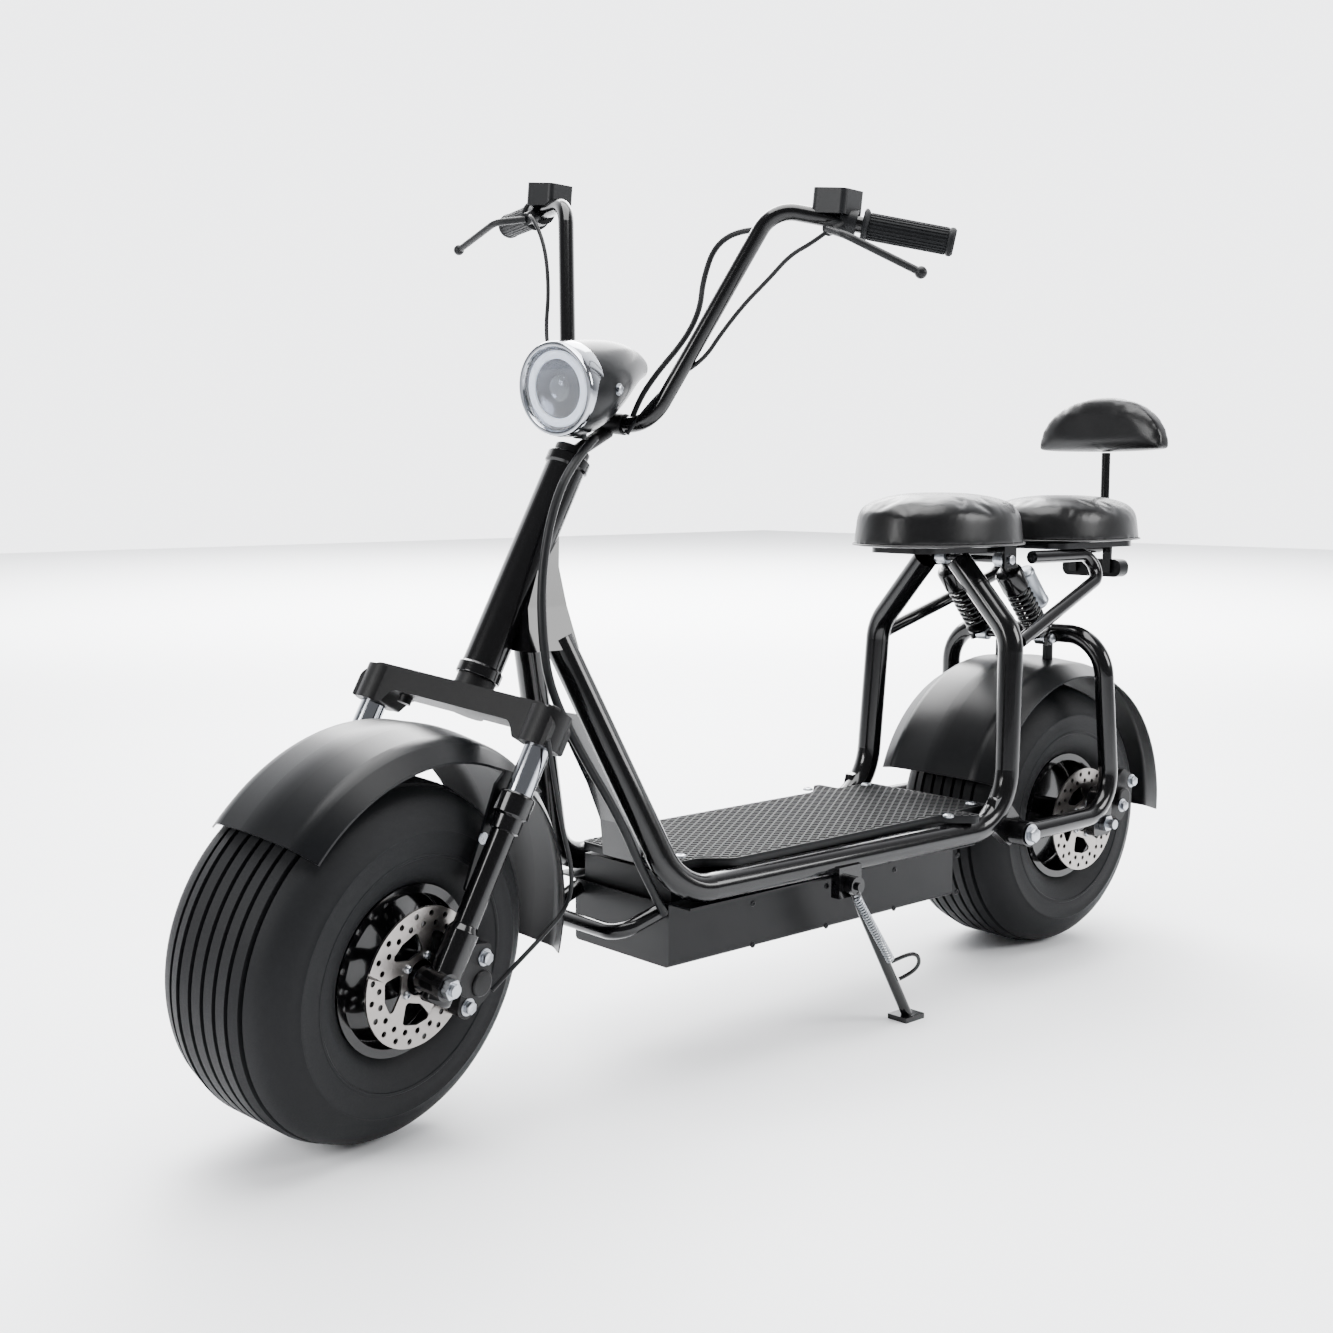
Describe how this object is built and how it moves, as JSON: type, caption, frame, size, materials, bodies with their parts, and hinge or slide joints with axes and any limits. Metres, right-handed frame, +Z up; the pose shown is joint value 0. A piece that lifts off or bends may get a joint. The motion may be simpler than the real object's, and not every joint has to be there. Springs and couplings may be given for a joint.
{
  "type": "electric scooter",
  "caption": "Seated electric scooter with broad balloon tyres, high handlebar, round headlamp, low deck over the battery box, twin seats with backrest and a side stand",
  "frame": {"origin": "on the ground below the centre of the bounding box, in the centre plane of the frame", "axes": "+X points ahead, the way the scooter drives, +Y to the rider's left, +Z up"},
  "size_m": [1.8725, 0.7929, 1.2451],
  "materials": {
    "gloss_black_steel": "gloss black enamel",
    "satin_black_sheet": "satin black enamel on sheet steel",
    "tyre_rubber": "dark grey moulded rubber",
    "black_rim": "gloss black enamel",
    "disc_steel": "ground stainless steel",
    "battery_case": "wrapped battery block",
    "deck_rubber": "patterned rubber",
    "fork_steel": "gloss black legs with chromed stanchions",
    "cast_black": "rough black cast metal",
    "zinc_steel": "bright zinc plate",
    "shock_black": "gloss black coil and damper",
    "black_leather": "smooth black leatherette",
    "black_plastic": "black moulded plastic",
    "lamp_black": "gloss black shell with a chromed rim",
    "lamp_glass": "clear lens",
    "tail_red": "red lens"
  },
  "bodies": {
    "frame": {"left_frame_tube": "gloss_black_steel", "right_frame_tube": "gloss_black_steel", "head_tube": "gloss_black_steel", "battery_box": "satin_black_sheet", "battery_pack": "battery_case", "deck": "satin_black_sheet", "deck_mat": "deck_rubber", "front_panel": "gloss_black_steel", "front_hoop": "gloss_black_steel", "swing_arm": "gloss_black_steel", "rear_axle": "zinc_steel", "rear_caliper": "cast_black", "rear_fender": "satin_black_sheet", "left_shock": "shock_black", "right_shock": "shock_black", "seat_frame": "gloss_black_steel", "left_stay": "gloss_black_steel", "right_stay": "gloss_black_steel", "tail_bracket": "gloss_black_steel", "tail_lamp": "tail_red", "backrest_post": "gloss_black_steel", "front_seat": "black_leather", "rear_seat": "black_leather", "backrest": "black_leather", "stand_bracket": "gloss_black_steel"},
    "steering": {"steering_stem": "cast_black", "left_fork_leg": "fork_steel", "right_fork_leg": "fork_steel", "front_axle": "zinc_steel", "front_fender": "satin_black_sheet", "front_caliper": "cast_black", "handlebar": "gloss_black_steel", "left_grip": "deck_rubber", "right_grip": "deck_rubber", "left_control": "black_plastic", "right_control": "black_plastic", "lamp_shell": "lamp_black", "lamp_lens": "lamp_glass"},
    "front_wheel": {"front_tyre": "tyre_rubber", "front_rim": "black_rim", "front_disc": "disc_steel"},
    "rear_wheel": {"rear_tyre": "tyre_rubber", "rear_rim": "black_rim", "rear_disc": "disc_steel"},
    "stand": {"side_stand": "gloss_black_steel"}
  },
  "joints": [
    {"name": "steering", "type": "hinge", "parent": "frame", "child": "steering", "pos_m": [0.6845, 0, 0.23195], "axis": [-0.4787, 0, 0.878], "range_deg": [-48.5, 21.5]},
    {"name": "front_wheel_spin", "type": "hinge", "parent": "steering", "child": "front_wheel", "pos_m": [0.70603, 0.00451, 0.2317], "axis": [-0.205, 0.9724, -0.1117], "continuous": true},
    {"name": "rear_wheel_spin", "type": "hinge", "parent": "frame", "child": "rear_wheel", "pos_m": [-0.6605, 0, 0.228], "axis": [0, 1, 0], "continuous": true},
    {"name": "stand_fold", "type": "hinge", "parent": "frame", "child": "stand", "pos_m": [-0.032, 0.172, 0.222], "axis": [0, 1, 0], "range_deg": [0, 60]}
  ]
}
